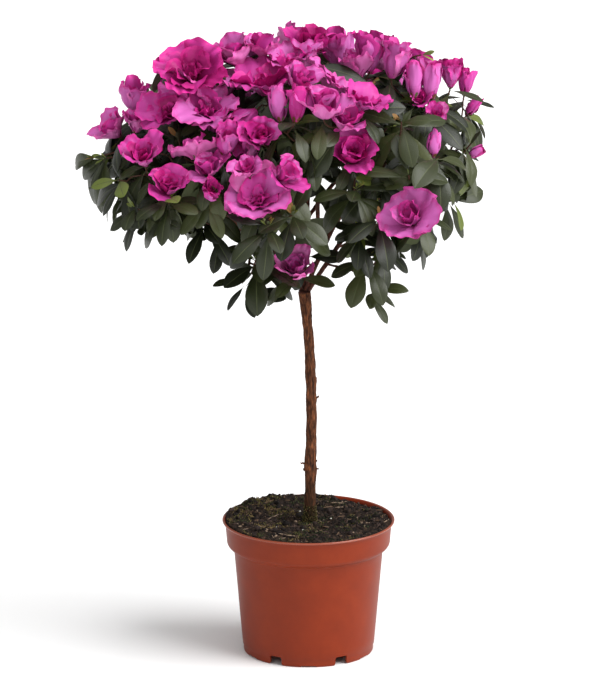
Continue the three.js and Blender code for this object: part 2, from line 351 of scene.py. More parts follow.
def mass_fed_by(bough):
    """The mass that a bough feeds: most have the same name."""
    same = bough.removeprefix("bough_")
    return same if same.startswith("spray") else FED_BY_OTHER_NAMES.get(bough, "foliage_" + same)


def crown_tree():
    """All the masses as one searchable surface."""
    points, faces = [], []
    for name in mass_nodes:
        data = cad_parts[name].data
        faces += [[len(points) + i for i in p.vertices] for p in data.polygons]
        points += [v.co / MM for v in data.vertices]
    return BVHTree.FromPolygons(points, faces)


crown_surface = crown_tree()


def mass_holding(point):
    """The mass whose middle is nearest to a point, counted in its own half sizes."""

    def share(name):
        half = (mass_skins[name].max(0) - mass_skins[name].min(0)) / 2
        return np.linalg.norm((point - mass_middles[name]) / half)

    return min(mass_nodes, key=share)


def outside_crown(point):
    """How far a point lies outside the crown's outline. Inside, it is less than nothing."""
    place, normal, _, distance = crown_surface.find_nearest(Vector(point))
    return math.copysign(distance, (Vector(point) - place).dot(normal))


# ---------------------------------------------------------------- shoots

VIEW_BACK = np.array(to_camera)
VIEW_RIGHT = np.array([1.0, 0.0, 0.0])
VIEW_UP = np.cross(VIEW_BACK, VIEW_RIGHT)

# The shoots that the front shows clearly: what ends the shoot, how far right of the pot's middle and how
# high it stands (both square to the camera), its size against the usual, and where it points: lean is from
# upright towards the right and face is from sideways on to straight at the viewer, in degrees.
FRONT_SHOOTS = [
    ("open", -100, 498, 1.1, -15, 45),
    ("open", -86, 466, 0.95, 0, 45),
    ("open", -119, 465, 0.8, -30, 40),
    ("goblet", -149, 475, 0.9, -5, 20),
    ("half", -167, 450, 0.72, -35, 20),
    ("half", -146, 454, 0.65, 10, 20),
    ("half", -63, 512, 0.85, -25, 20),
    ("half", -40, 520, 0.8, -5, 15),
    ("open", -14, 510, 0.85, 0, 25),
    ("half", 2, 522, 0.85, 10, 20),
    ("open", -38, 492, 1.2, -5, 20),
    ("half", -8, 488, 0.75, 30, 40),
    ("half", 42, 502, 0.8, 0, 10),
    ("goblet", 27, 514, 1.05, -12, 10),
    ("goblet", 52, 511, 1.0, 0, 10),
    ("goblet", 73, 504, 0.95, 12, 10),
    ("tulip", 90, 487, 0.85, 0, 5),
    ("tulip", 105, 487, 0.95, 2, 10),
    ("goblet", 122, 495, 0.75, 4, 5),
    ("tulip", 135, 489, 0.7, 6, 5),
    ("half", 94, 474, 0.45, -10, 50),
    ("half", 108, 461, 0.5, 20, 60),
    ("bud", 106, 436, 1.0, 10, 20),
    ("tulip", -25, 464, 0.85, -5, 5),
    ("tulip", -10, 464, 0.9, 6, 5),
    ("half", 13, 466, 0.9, 5, 30),
    ("half", 31, 454, 0.8, 25, 40),
    ("open", 46, 472, 0.75, 20, 10),
    ("half", 37, 427, 0.97, 5, 55),
    ("half", -41, 440, 0.82, -10, 60),
    ("half", -20, 408, 0.75, 50, 40),
    ("open", -43, 390, 0.92, -10, 50),
    ("half", -52, 412, 0.6, -20, 50),
    ("wide", -96, 430, 0.72, -10, -15),
    ("goblet", -70, 434, 0.8, 10, 30),
    ("half", -85, 414, 0.7, -20, 40),
    ("goblet", -82, 392, 0.65, 20, 50),
    ("half", -140, 424, 0.8, -15, 45),
    ("half", -118, 399, 0.72, 5, 50),
    ("half", -11, 331, 0.78, -5, 50),
    ("wide", 85, 373, 0.86, -40, 52),
    ("leaves", 84, 408, 1.1, 10, 45),
    ("bud", 145, 430, 0.7, 60, 20),
    ("bud", 142, 470, 0.8, 40, 20),
    ("leaves", -172, 424, 1.05, -80, 20),
    ("leaves", -160, 404, 1.0, -60, 30),
    ("leaves", -119, 386, 1.0, -20, 40),
    ("leaves", -90, 370, 0.85, -30, 40),
    ("leaves", -45, 337, 1.0, -5, 40),
    ("leaves", -26, 342, 0.8, 10, 40),
    ("leaves", -180, 425, 1.3, -95, 10),
    ("leaves", -34, 364, 1.1, 0, 45),
    ("leaves", -14, 374, 1.0, 10, 50),
    ("leaves", 50, 340, 0.95, 10, 35),
    ("leaves", 66, 350, 0.75, 40, 30),
    ("leaves", 44, 362, 0.8, 10, 40),
    ("leaves", 60, 372, 1.1, 15, 45),
    ("leaves", 98, 374, 1.0, 50, 35),
    ("leaves", 130, 400, 1.0, 60, 30),
    ("leaves", 110, 424, 1.3, 20, 45),
    ("leaves", 78, 453, 1.25, -20, 45),
    ("leaves", 101, 466, 1.25, 10, 45),
    ("leaves", 125, 464, 1.25, 45, 25),
    ("leaves", 138, 436, 1.0, 60, 25),
    ("leaves", 124, 388, 1.0, 75, 20),
    ("leaves", 100, 364, 0.8, 70, 15),
    ("leaves", -75, 514, 0.8, -10, 15),
    ("leaves", 54, 488, 1.2, 5, 50),
    ("leaves", 16, 486, 1.1, 0, 40),
    ("leaves", 2, 432, 1.0, 20, 50),
    ("leaves", 8, 408, 0.8, 20, 45),
    ("leaves", 40, 396, 1.05, 20, 50),
    ("leaves", -146, 380, 0.9, -50, 30),
]

BLOOM_RADII = {"open": 29.0, "wide": 31.0, "half": 20.0, "goblet": 13.0, "tulip": 9.0, "bud": 8.0}
BLOOM_DEPTHS = {"open": 22.0, "wide": 20.0, "half": 27.0, "goblet": 33.0, "tulip": 33.0, "bud": 23.0}
BLOOM_MIDDLE = 13.0  # how far a bloom's middle is from its foot
BLOOM_SHARES = [0.22, 0.08, 0.34, 0.14, 0.14, 0.08]  # of each kind among the seeded blooms
MOST_DRAWN_IN = 6.0  # how far a bloom's foot moves inwards at a time
LEAF_OVERHANG = 4.0  # how far past the crown's outline a leaf may reach
FRONT_OVERHANG = 16.0  # the same for the shoots of the front
UNDER_OVERHANG = 30.0  # and for those of them that hang under the crown
HANGING_OVERHANG = 7.0  # more for leaves that hang, and as much less for those that rise
UNDER_CROWN = 390.0  # leafy front shoots lower than this hang under the crown
UNDER_DEPTH = 22.0  # how far in front of the fork they stand
FRONT_LIMIT = crown_skin[:, 1].min() - 8.0  # how far forward a bloom may reach
LEAF_TIP_DEPTH = 8.0  # how far behind the skin a leafy front shoot ends
BLOOM_DEPTH_AT = ([330, 400], [-34, 10])  # heights, and how far behind the skin a bloom's middle is there
SHOOT_DEPTH = 21.0  # how far inside the crown's outline a seeded shoot ends
INNER_DEPTH = (32.0, 56.0)  # the same for the shoots behind them
SHOOT_SPACING = 28.5
INNER_SPACING = 23.5
PLACES_TRIED = 5200

rng = np.random.default_rng(7)


class Shoot:
    """The end of a twig: what it carries, where it is, where it points, and how far its leaves may overhang.

    It draws its own random numbers, so that moving one shoot leaves the others as they are.
    """

    def __init__(self, kind, tip, axis, size, draws, inner=False, overhang=LEAF_OVERHANG):
        self.kind, self.tip, self.axis = kind, np.array(tip), unit(np.array(axis))
        self.size, self.draws, self.inner, self.overhang = size, draws, inner, overhang
        self.blooms = kind != "leaves"
        self.placed = overhang > LEAF_OVERHANG


def seen_point(across, height):
    """Where the line of sight at a place square to the camera meets the crown, or comes nearest to it."""
    start = across * VIEW_RIGHT + height * VIEW_UP + 600 * VIEW_BACK
    hit = crown_surface.ray_cast(Vector(start), Vector(-VIEW_BACK))
    if hit[0] is not None:
        return np.array(hit[0])
    off = crown_skin - start
    off -= np.outer(off @ VIEW_BACK, VIEW_BACK)
    nearest = crown_skin[np.linalg.norm(off, axis=1).argmin()]
    return start + ((nearest - start) @ VIEW_BACK) * VIEW_BACK


def front_shoot(kind, across, height, size, lean, face):
    """A shoot that the front shows. The lowest blooms hang out in front of the crown's skin."""
    lean, face = math.radians(lean), math.radians(face)
    flat = math.sin(lean) * VIEW_RIGHT + math.cos(lean) * VIEW_UP
    axis = math.cos(face) * flat + math.sin(face) * VIEW_BACK
    middle = seen_point(across, height)
    overhang = FRONT_OVERHANG
    if kind == "leaves":
        tip = middle - LEAF_TIP_DEPTH * VIEW_BACK
        if height < UNDER_CROWN:
            tip = tip + max(0, (fork - tip) @ VIEW_BACK + UNDER_DEPTH) * VIEW_BACK
            overhang = UNDER_OVERHANG
    else:
        tip = middle - BLOOM_MIDDLE * size * axis - np.interp(height, *BLOOM_DEPTH_AT) * VIEW_BACK
        aside = BLOOM_RADII[kind] * math.sqrt(1 - axis[1] ** 2)
        foremost = tip[1] + size * (BLOOM_DEPTHS[kind] * axis[1] - aside)
        tip = tip + max(0, FRONT_LIMIT - foremost) / VIEW_BACK[1] * VIEW_BACK
    draws = np.random.default_rng((1000 + across, height))
    return Shoot(kind, tip, axis, size, draws, overhang=overhang)


def skin_samples(depth):
    """Points inside the crown's outer skin, each as deep as depth() says, and the way out at each."""
    corners = []
    for name in mass_nodes:
        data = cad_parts[name].data
        data.calc_loop_triangles()
        corners += [mass_skins[name][list(t.vertices)] for t in data.loop_triangles]
    a, b, c = np.stack(corners, 1)
    normal = np.cross(b - a, c - a)
    area = np.linalg.norm(normal, axis=1)
    pick = rng.choice(len(corners), PLACES_TRIED, p=area / area.sum())
    share = rng.random((PLACES_TRIED, 2))
    share = np.where(share.sum(1, keepdims=True) > 1, 1 - share, share)
    place = a[pick] + (b - a)[pick] * share[:, :1] + (c - a)[pick] * share[:, 1:]
    for point, way in zip(place, unit(normal[pick])):
        outward = unit(way + 0.8 * unit(point - crown_middle))
        hit = crown_surface.ray_cast(Vector(point + 2 * way), Vector(outward), 45)
        if hit[0] is None:
            yield point - depth() * way, outward


def bloom_share(height, way):
    """How likely a shoot is to bloom: most near the top, few low down, facing down or in front."""
    share = np.interp(height, [380, 420, 450, 480, 510], [0.0, 0.1, 0.25, 0.65, 0.9])
    in_front = smooth_step(3 * (way @ VIEW_BACK) - 0.6)
    return share * smooth_step(1.1 + way[2]) * (1 - 0.95 * in_front)


def draw_in(kind, tip, axis, size):
    """Moves a bloom's foot inwards until its petals keep within the crown's outline."""
    side, other = across_of(axis, UP + 0.01)
    depth, radius = BLOOM_DEPTHS[kind], BLOOM_RADII[kind]
    rim = [math.cos(a) * side + math.sin(a) * other for a in range(6)]
    rays = [depth * axis] + [0.75 * depth * axis + radius * out for out in rim]
    for ray in 5 * rays:
        over = outside_crown(tip + size * ray)
        if over > 0:
            tip = tip - min(over, MOST_DRAWN_IN) * unit(ray)
    return tip


def seeded_shoots(taken, spacing, depth, inner):
    """Shoots spread over the crown's skin no nearer to each other, or to those taken, than the spacing."""
    standing = [s.tip for s in taken]
    found = []
    for number, (place, way) in enumerate(skin_samples(depth)):
        if inner and mass_holding(place).startswith("spray"):
            continue
        room = spacing * np.interp(place[2], [390, 440], [1.15, 1.0])
        if np.min(np.linalg.norm(np.array(standing) - place, axis=1)) < room:
            continue
        standing.append(place)
        draws = np.random.default_rng((number, int(inner)))
        rise = np.interp(place[2], [340, 430], [0.75, 0.6])
        uneven = 0.2 * draws.standard_normal(3)
        axis = unit(way * [1, 1, 0.5] + (rise + 0.15 * draws.standard_normal()) * UP + uneven)
        if not inner and draws.random() < bloom_share(place[2], way):
            kind = draws.choice(list(BLOOM_RADII), p=BLOOM_SHARES)
            axis = unit(way + 0.3 * UP + 0.25 * draws.standard_normal(3))
            size = draws.uniform(0.72, 0.95)
            place = draw_in(kind, place, axis, size)
        else:
            kind = "leaves"
            size = draws.uniform(0.85, 1.1)
        if outside_crown(place) < 0:
            found.append(Shoot(kind, place, axis, size, draws, inner))
    return found


shoots = [front_shoot(*row) for row in FRONT_SHOOTS]
shoots += seeded_shoots(shoots, SHOOT_SPACING, lambda: SHOOT_DEPTH, False)
shoots += seeded_shoots(shoots, INNER_SPACING, lambda: rng.uniform(*INNER_DEPTH), True)

# ---------------------------------------------------------------- leaves

LEAF_ROWS = 1 - (1 - np.linspace(0, 1, 12)) ** 1.25  # closer together towards the rounded tip
LEAF_COLUMNS = np.array([-1.0, -0.55, -0.04, 0.04, 0.55, 1.0])
BACK_ROWS = [0, 1, 3, 5, 7, 9, 11]  # of them, those that the plainer back has
LEAF_STALK = 0.1  # of a leaf's length
LEAF_GREENS = ["#1A1F10", "#252B15", "#2F351B", "#393F21", "#484E2A"]
YOUNG_GREENS = ["#5F6B2D", "#8A9144"]
BUD_SCALES = "#7D5A30"
LEAF_BACKS = ["#464C35", "#52593C"]
MIDRIB = "#454C2E"
FIRST_YOUNG = len(LEAF_GREENS)
BUD_SCALE = FIRST_YOUNG + len(YOUNG_GREENS)
FIRST_BACK = BUD_SCALE + 1
MIDRIB_TONE = FIRST_BACK + len(LEAF_BACKS)
FEWEST_LEAVES = 4
YOUNGEST_LEAF, OLDEST_LEAF = 29.0, 45.0  # their usual lengths on a shoot
LEAF_HANG = 1.25  # how strongly the oldest leaves of a shoot hang down

leaves = []  # the base, direction, face, length, width, arch and tone of each leaf

blooming = [s for s in shoots if s.blooms]
bloom_feet = np.array([s.tip for s in blooming])
bloom_axes = np.array([s.axis for s in blooming])
bloom_sizes = np.array([s.size for s in blooming])
bloom_radii = bloom_sizes * [BLOOM_RADII[s.kind] for s in blooming]
bloom_placed = np.array([s.placed for s in blooming])


def in_a_bloom(point):
    """Whether a point is in the funnel of a bloom, or hides one of those that the front shows clearly."""
    off = point - bloom_feet
    ahead = np.sum(off * bloom_axes, axis=1)
    aside = np.linalg.norm(off - ahead[:, None] * bloom_axes, axis=1)
    ahead /= bloom_sizes
    funnel = bloom_radii * np.clip(0.25 + ahead / 18, 0.25, 1)
    inside = (aside < funnel) & (ahead > -2) & (ahead < 32)
    middle = off - BLOOM_MIDDLE * bloom_sizes[:, None] * bloom_axes
    before = middle @ VIEW_BACK
    beside = np.linalg.norm(middle - before[:, None] * VIEW_BACK, axis=1)
    return np.any(inside | bloom_placed & (before > 0) & (beside < 0.7 * bloom_radii))


def add_leaf(base, direction, face, length, width, arch, tone, overhang):
    """Adds one leaf, drawn in if its tip would leave the crown, and left out if it would cross a bloom."""
    if any(in_a_bloom(base + share * length * direction) for share in (0.4, 0.7, 0.95)):
        return
    for shrink in (1.0, 0.9, 0.8):
        tip = base + shrink * length * (direction + (0.09 - 0.15 * arch) * face)
        if outside_crown(tip) < overhang - HANGING_OVERHANG * direction[2]:
            leaves.append((base, direction, face, shrink * length, shrink**0.5 * width, arch, tone))
            return


def add_whorl(shoot, count, spread_from, spread_to, tone_of):
    """Leaves in a spiral round a shoot's end. The last are the lowest and largest, and hang the most."""
    draws = shoot.draws
    side, other = across_of(shoot.axis, UP + 0.01)
    turn = draws.uniform(0, 2 * math.pi)
    for i in range(count):
        age = (i + 1) / count
        angle = turn + i * GOLDEN_ANGLE + draws.normal(0, 0.15)
        opening = math.radians(spread_from + (spread_to - spread_from) * age**0.7 + draws.normal(0, 8))
        out = math.cos(angle) * side + math.sin(angle) * other
        direction = unit(math.cos(opening) * shoot.axis + math.sin(opening) * out)
        direction = unit(direction - LEAF_HANG * age * draws.uniform(0.4, 1.3) * UP)
        facing = shoot.axis + 0.4 * out + 0.5 * VIEW_BACK * draws.random()
        face = unit(facing - (facing @ direction) * direction + 0.12 * draws.standard_normal(3))
        length = shoot.size * draws.uniform(0.85, 1.15)
        length *= YOUNGEST_LEAF + (OLDEST_LEAF - YOUNGEST_LEAF) * age
        width = length * draws.uniform(0.31, 0.43)
        base = shoot.tip - shoot.axis * (1.3 * i)
        arch = draws.uniform(0.2, 0.9)
        add_leaf(base, direction, face, length, width, arch, tone_of(age), shoot.overhang)


def add_young_leaves(shoot):
    """The tuft of pale unfolding leaves in the middle of a leafy shoot."""
    draws = shoot.draws
    side, other = across_of(shoot.axis, UP + 0.01)
    for i in range(int(draws.integers(4, 9))):
        out = math.cos(i * GOLDEN_ANGLE) * side + math.sin(i * GOLDEN_ANGLE) * other
        opening = math.radians(draws.uniform(8, 50))
        direction = unit(math.cos(opening) * shoot.axis + math.sin(opening) * out)
        length = draws.uniform(6, 15)
        tone = FIRST_YOUNG + int(draws.choice(len(YOUNG_GREENS) + 1, p=[0.35, 0.4, 0.25]))
        face = unit(shoot.axis - 0.5 * out)
        add_leaf(shoot.tip, direction, face, length, 0.3 * length, 0.3, tone, LEAF_OVERHANG)


def leaf_tone(draws, painted_shade=0):
    """Leaf colours of one shoot: one green for its grown leaves, and sometimes young green in the middle.
    Shoots deep in the crown get deeper greens as painted shade.
    """
    own = int(np.clip(round(draws.normal(1.6, 1.1)) - painted_shade, 0, len(LEAF_GREENS) - 1))
    young = draws.random() < 0.2

    def tone(age):
        if young and age < 0.3:
            return FIRST_YOUNG
        return int(np.clip(own + draws.integers(-1, 2), 0, len(LEAF_GREENS) - 1))

    return tone


def dress_shoot(shoot):
    """Gives a shoot its leaves, and drops a leafy shoot that has no room for at least a few."""
    draws = shoot.draws
    if shoot.blooms:
        foot = shoot.tip - 3 * shoot.axis
        below = Shoot("leaves", foot, shoot.axis, 0.95, draws, overhang=shoot.overhang)
        add_whorl(below, int(draws.integers(5, 8)), 75, 110, leaf_tone(draws))
        return
    before = len(leaves)
    if shoot.placed:
        add_whorl(shoot, int(draws.integers(7, 10)), 50, 92, leaf_tone(draws))
    else:
        count = int(draws.integers(5, 8) if shoot.inner else draws.integers(7, 11))
        # Inner shoots get greens one step deeper: painted shade for the depth of the crown.
        add_whorl(shoot, count, 35, 100, leaf_tone(draws, int(shoot.inner)))
    if len(leaves) < before + FEWEST_LEAVES:
        del leaves[before:]
        shoots.remove(shoot)
    elif not shoot.inner:
        add_young_leaves(shoot)


for shoot in list(shoots):
    dress_shoot(shoot)


def leaf_batches():
    """Two skins for each leaf, the glossy face and the paler back, and the tone of every face of both."""
    base, direction, face, length, width, arch, tone = map(np.array, zip(*leaves))
    side, up = across_of(direction, face)
    count = len(base)
    u = LEAF_ROWS[None, :, None]
    v = LEAF_COLUMNS[None, None, :]
    blade = np.clip((u - LEAF_STALK) / (1 - LEAF_STALK), 0, 1)
    outline = np.sin(math.pi * blade**1.36) ** 0.74 + 0.05
    outline[:, -1] = 0.03
    half = 0.5 * width[:, None, None] * outline
    pitch = 0.18 * (1 - u) - arch[:, None, None] * (u - 0.35)
    step = length[:, None, None] * np.diff(u, axis=1, prepend=0)
    run = np.cumsum(np.cos(pitch) * step, axis=1)
    rise = np.cumsum(np.sin(pitch) * step, axis=1)
    fold = rng.uniform(0.12, 0.38, (count, 1, 1))
    phase = rng.uniform(0, 6.3, (count, 1, 1))
    curl = fold * np.abs(v) * half - 0.22 * half * v**4
    wave = 0.05 * half * np.sin(9 * u + phase + 1.3 * np.sign(v)) * np.abs(v)
    ribs = np.abs(np.sin(8.5 * math.pi * (u - 0.12 * np.abs(v))))
    veins = 0.16 * ribs * (np.abs(v) > 0.1) * (1 - np.abs(v))
    twist = rng.normal(0, 0.12, (count, 1, 1)) * u
    high = rise + curl + wave + veins + twist * v * half
    ones = np.ones((1, 1, len(LEAF_COLUMNS)))
    top = np.stack([run * ones, v * half, high], -1)
    inside = (1 - np.abs(v) ** 8) * (blade < 0.999)
    back = top.copy()
    back[..., 2] -= 0.25 * inside
    back = back[:, BACK_ROWS, ::-1]
    axes = np.stack([direction, -side, up], 1)
    top, back = (base[:, None, None] + np.einsum("nijk,nkl->nijl", skin, axes) for skin in (top, back))
    columns = len(LEAF_COLUMNS) - 1
    top_tone = np.repeat(tone[:, None, None], len(LEAF_ROWS) - 1, 1).repeat(columns, 2)
    top_tone[:, :, columns // 2] = MIDRIB_TONE
    top_tone[:, 0] = MIDRIB_TONE
    back_tone = np.full((count, len(BACK_ROWS) - 1, columns), FIRST_BACK)
    back_tone += (tone % 2)[:, None, None]
    return [(top, top_tone), (back, back_tone)]


# ---------------------------------------------------------------- limbs and twigs

TWIG_STEP = 7.0
TWIG_TIP_RADIUS = 0.7
THICKEST_TWIG = 2.0
BRANCH_POWER = 0.36  # how fast a twig thickens with the shoots that it carries
WOODY = 1.25  # limbs with a radius over this have cracked bark

# The branching skeleton: its points, the number of each one's parent and each one's least radius.
wood, parents, least_radii = [], [], []


def grow(path, parent, radii):
    """Adds a path of points after a parent and returns their numbers."""
    numbers = list(range(len(wood), len(wood) + len(path)))
    wood.extend(path)
    parents.extend([parent, *numbers[:-1]])
    least_radii.extend(radii)
    return numbers


def curve_between(start, leaving, end, arriving):
    """A smooth path of twig that leaves and arrives in given directions."""
    distance = np.linalg.norm(end - start)
    reach = 0.33 * distance
    a, b, c, d = start, start + leaving * reach, end - arriving * reach, end
    count = max(3, round(distance / TWIG_STEP) + 1)
    t = np.linspace(0, 1, count)[1:, None]
    path = a * (1 - t) ** 3 + 3 * b * t * (1 - t) ** 2 + 3 * c * t**2 * (1 - t) + d * t**3
    path[:-1] += 0.7 * rng.standard_normal((count - 2, 3))
    return path


stem_fine = resample(stem_path, TWIG_STEP)
stem_numbers = grow(stem_fine, -1, spread(stem_radii, len(stem_fine)))

grown_in = {name: [] for name in mass_nodes}


def grow_boughs():
    """The boughs, each to the middle of its mass: the nearest to the fork first, as it may carry others."""
    lines = {name: bough_line(name) for name in bough_nodes}
    for name in sorted(bough_nodes, key=lambda name: np.linalg.norm(lines[name][0][0] - fork)):
        path, radii = lines[name]
        root = int(np.linalg.norm(np.array(wood) - path[0], axis=1).argmin())
        fine = resample(path, TWIG_STEP)
        numbers = grow(fine, root, 0.85 * spread(radii, len(fine)))
        fed = mass_fed_by(name)
        middle = mass_middles[fed]
        inside = curve_between(path[-1], unit(path[-1] - path[-3]), middle, unit(middle - path[-1]))
        numbers += grow(inside, numbers[-1], np.linspace(radii[-1], TWIG_TIP_RADIUS, len(inside)))
        grown_in[fed] += numbers[len(fine) // 2 :]


def grow_twigs():
    """Joins each shoot to the wood in its mass, the nearest to the bough first."""
    near_skin = np.zeros(len(wood), bool)
    homes = {}
    for shoot in shoots:
        homes.setdefault(mass_holding(shoot.tip), []).append(shoot)
    for name, members in homes.items():
        root = wood[grown_in[name][0]]
        for shoot in sorted(members, key=lambda s: np.linalg.norm(s.tip - root)):
            numbers = np.array(grown_in[name])
            standing = np.array([wood[i] for i in numbers])
            off = shoot.tip - standing
            length = np.linalg.norm(off, axis=1)
            from_root = np.linalg.norm(standing - root, axis=1)
            against = 1 - np.sum(unit(off) * shoot.axis, axis=1)
            cost = length * (1 + 0.7 * against) + 0.35 * from_root + 12 * near_skin[numbers]
            cost[length < 10] += 100
            joint = int(numbers[cost.argmin()])
            flow = unit(wood[joint] - wood[parents[joint]])
            leaving = unit(flow + 0.9 * unit(shoot.tip - wood[joint]))
            path = curve_between(wood[joint], leaving, shoot.tip, shoot.axis)
            grown = grow(path, joint, np.full(len(path), TWIG_TIP_RADIUS))
            near_skin = np.append(near_skin, [outside_crown(point) > -18 for point in path])
            shoot.number = grown[-1]
            grown_in[name] += grown[:-2]


grow_boughs()
grow_twigs()


def wood_radii():
    """A radius for each point of the wood, from how many shoots it carries."""
    carried = np.zeros(len(wood))
    for shoot in shoots:
        carried[shoot.number] += 1
    for i in range(len(wood) - 1, 0, -1):
        carried[parents[i]] += carried[i]
    grown = TWIG_TIP_RADIUS * np.maximum(carried, 1) ** BRANCH_POWER
    return np.maximum(np.minimum(grown, THICKEST_TWIG), least_radii)


radii = wood_radii()


def wood_runs():
    """The wood as unbranched runs of point numbers, each starting at the point it grows from."""
    children = {}
    for i, parent in enumerate(parents):
        children.setdefault(parent, []).append(i)
    runs, starts = [], [[0]]
    while starts:
        run = starts.pop()
        while run[-1] in children:
            here = run[-1]
            onward = max(children[here], key=lambda i: radii[i] + (0.5 if i == here + 1 else 0))
            starts += [[here, i] for i in children[here] if i != onward]
            run.append(onward)
        runs.append(run)
    return runs


def frames_along(path):
    """Two steady unit vectors across a path at each of its points."""
    direction = unit(np.gradient(path, axis=0))
    sides = [across_of(direction[0], np.array([0.2, 1.0, 0.1]))[0]]
    for d in direction[1:]:
        sides.append(unit(sides[-1] - (sides[-1] @ d) * d))
    return np.array(sides), np.cross(direction, sides)


def noise_at(points, *sizes):
    return np.array([noise.noise(Vector(point)) for point in points / sizes])


def tube(path, radius, around, relief):
    """A round limb with cracks and lumps in its bark, as deep in millimetres as relief at a radius of 5."""
    side, other = frames_along(path)
    angle = round_angles(around)[None, :, None]
    out = side[:, None] * np.cos(angle) + other[:, None] * np.sin(angle)
    skin = path[:, None] + out * radius[:, None, None]
    if relief:
        points = skin.reshape(-1, 3)
        cracks = 0.55 * (np.abs(noise_at(points, 1.5, 1.5, 8.5)) * 2.2 - 0.5)
        height = cracks + 0.22 * noise_at(points, 0.6, 0.6, 2.2) + 0.7 * noise_at(points, 6, 6, 11)
        depth = relief * np.sqrt(radius / 5)[:, None] * height.reshape(len(path), around)
        skin = skin + out * depth[..., None]
    return skin


# Knots of the stem: the height of each, the way it faces in degrees from +X, its swelling and its width.
KNOTS = [
    (165, 195, 1.5, 4.5),
    (160, 350, 0.9, 4.0),
    (172, 200, 0.7, 3.5),
    (242, 8, 0.9, 3.0),
    (225, 10, 0.6, 3.0),
]
# Stubs of old side shoots: the height of each, the way it faces, its length and its radius.
STUBS = [
    (165, 195, 5, 0.9),
    (160.5, 188, 2, 1.6),
    (160, 352, 3, 0.8),
    (168, 345, 1.5, 0.9),
    (242, 8, 1, 1.2),
    (225, 10, 2.5, 0.9),
]


def stem_piece(material):
    """The stem with its fissured bark, root flare, knots and the stubs of old side shoots."""
    path = resample(stem_path, 0.8)
    radius = spread(stem_radii, len(path))
    skin = tube(path, radius, 48, 0.75)
    out = unit(skin - path[:, None])
    around = np.degrees(np.arctan2(out[..., 1], out[..., 0]))
    for height, towards, lift, width in KNOTS:
        turn = (around - towards + 180) % 360 - 180
        off = (skin[..., 2] - height) ** 2 + (np.radians(turn) * radius[:, None]) ** 2
        skin = skin + out * (lift * np.exp(-off / width**2))[..., None]
    skins = [skin_over(skin, closed=True)]
    for height, towards, length, thick in STUBS:
        way = np.array([math.cos(math.radians(towards)), math.sin(math.radians(towards)), 0.35])
        line = at_height(path, height) + np.linspace(2.5, 4.5 + length, 7)[:, None] * way
        line[:, 2] += 0.4 * rng.standard_normal(7)
        shape = thick * np.array([1.5, 1.3, 1.05, 1.0, 0.95, 0.85, 0.1])
        skins.append(skin_over(tube(line, shape, 10, 0.8), closed=True))
    put_on(add_mesh("stem_bark", joined(skins), [material]), ["stem"])


def limb_pieces(bough_material, twig_material):
    """Every bough and twig as tapering tubes."""
    thick, thin = [], []
    for run in wood_runs():
        if run[0] == 0:
            run = run[stem_numbers[-1] - 1 :]
        if len(run) < 2:
            continue
        radius = radii[run]
        radius[0] = min(radius[0], 1.15 * radius[1] + 0.2)
        woody = radius.max() > WOODY
        step, around, relief = (1.6, 12, 0.45) if woody else (4.0, 6, 0)
        fine = resample(np.array([wood[i] for i in run]), step)
        skin = tube(fine, spread(radius, len(fine)), around, relief)
        (thick if woody else thin).append(skin_over(skin, closed=True))
    put_on(add_mesh("bough_bark", joined(thick), [bough_material]), bough_nodes)
    put_on(add_mesh("twigs", joined(thin), [twig_material]), mass_nodes)


# ---------------------------------------------------------------- blooms

# Tones of a petal at its foot, over its middle and along its margin, from the deepest petals to the palest.
PETAL_TONES = [
    ("#8C104E", "#A61C6E", "#BE207C"),
    ("#9C1660", "#B82A86", "#CC288A"),
    ("#A62470", "#C04098", "#CE3494"),
    ("#AE4088", "#C662AE", "#CA4C9E"),
    # The palest row is painted light, added for the lowest blooms, which hang in the crown's shade.
    ("#C04E94", "#DA74B8", "#DC5CAA"),
]
ZONE_STEPS = 4  # from the foot's tone to the middle's, and from there to the margin's
ZONES = 2 * ZONE_STEPS + 1
# Painted light: blooms that hang low in the crown's shade get paler rows of PETAL_TONES to stand in for the
# light they miss.
PAINTED_LIGHT_BELOW = 365.0  # blooms lower than this are pale
MOST_PAINTED_LIGHT_BELOW = 345.0  # and those lower than this the palest
SEPAL_TONES = ["#6A3E1E", "#525A2E"]

WIDEST = 0.56  # where along its length a petal is widest
FOOT_WIDTH = 0.26  # of its widest place

# Rings of petals of each kind of bloom, from the outside in: how many, their length and width, their angle
# from the bloom's axis at the foot, halfway and at the tip in degrees, how far their sides cup inwards in
# radians, the depth of their ruffles and how much paler than the bloom they are.
BLOOMS = {
    "open": [
        (5, 35, 41, (38, 55, 80), 0.35, 3.8, 1),
        (4, 26, 25, (28, 42, 60), 0.6, 4.0, 0),
        (5, 18, 14, (20, 32, 46), 1.0, 3.6, 0),
        (5, 13, 10, (6, 16, 30), 1.2, 3.2, -1),
    ],
    "wide": [
        (4, 37, 50, (42, 60, 78), 0.35, 4.2, 1),
        (4, 28, 27, (36, 16, 34), 0.9, 3.4, 0),
        (4, 24, 18, (22, 4, 16), 1.2, 3.0, 0),
    ],
    "half": [
        (4, 32, 33, (40, 30, 60), 0.65, 3.0, 1),
        (4, 28, 26, (26, 18, 40), 0.95, 3.0, 0),
        (3, 23, 20, (16, 10, 28), 1.15, 3.0, 0),
        (3, 18, 13, (4, 4, 16), 1.3, 2.4, -1),
    ],
    "goblet": [
        (4, 34, 29, (42, 4, 36), 0.95, 3.4, 0),
        (4, 32, 24, (30, 2, 24), 1.2, 3.2, 0),
        (3, 26, 16, (14, 2, 4), 1.4, 2.0, -1),
    ],
    "tulip": [
        (4, 34, 21, (38, 4, 4), 1.4, 2.0, 0),
        (3, 33, 17, (27, 2, 0), 1.5, 1.8, 0),
        (3, 30, 11, (12, 0, 0), 1.5, 1.2, -1),
    ],
    "bud": [
        (4, 23, 16, (34, 0, -16), 1.45, 0.4, 0),
        (3, 22, 11, (20, 0, -8), 1.6, 0.4, -1),
    ],
}

# Rows of petals and sepals: foot, axis, turn round the axis, length, width, angles, cup, ruffle, how far the
# foot stands from the axis, and tone.
outer_petals, inner_petals, sepals = [], [], []


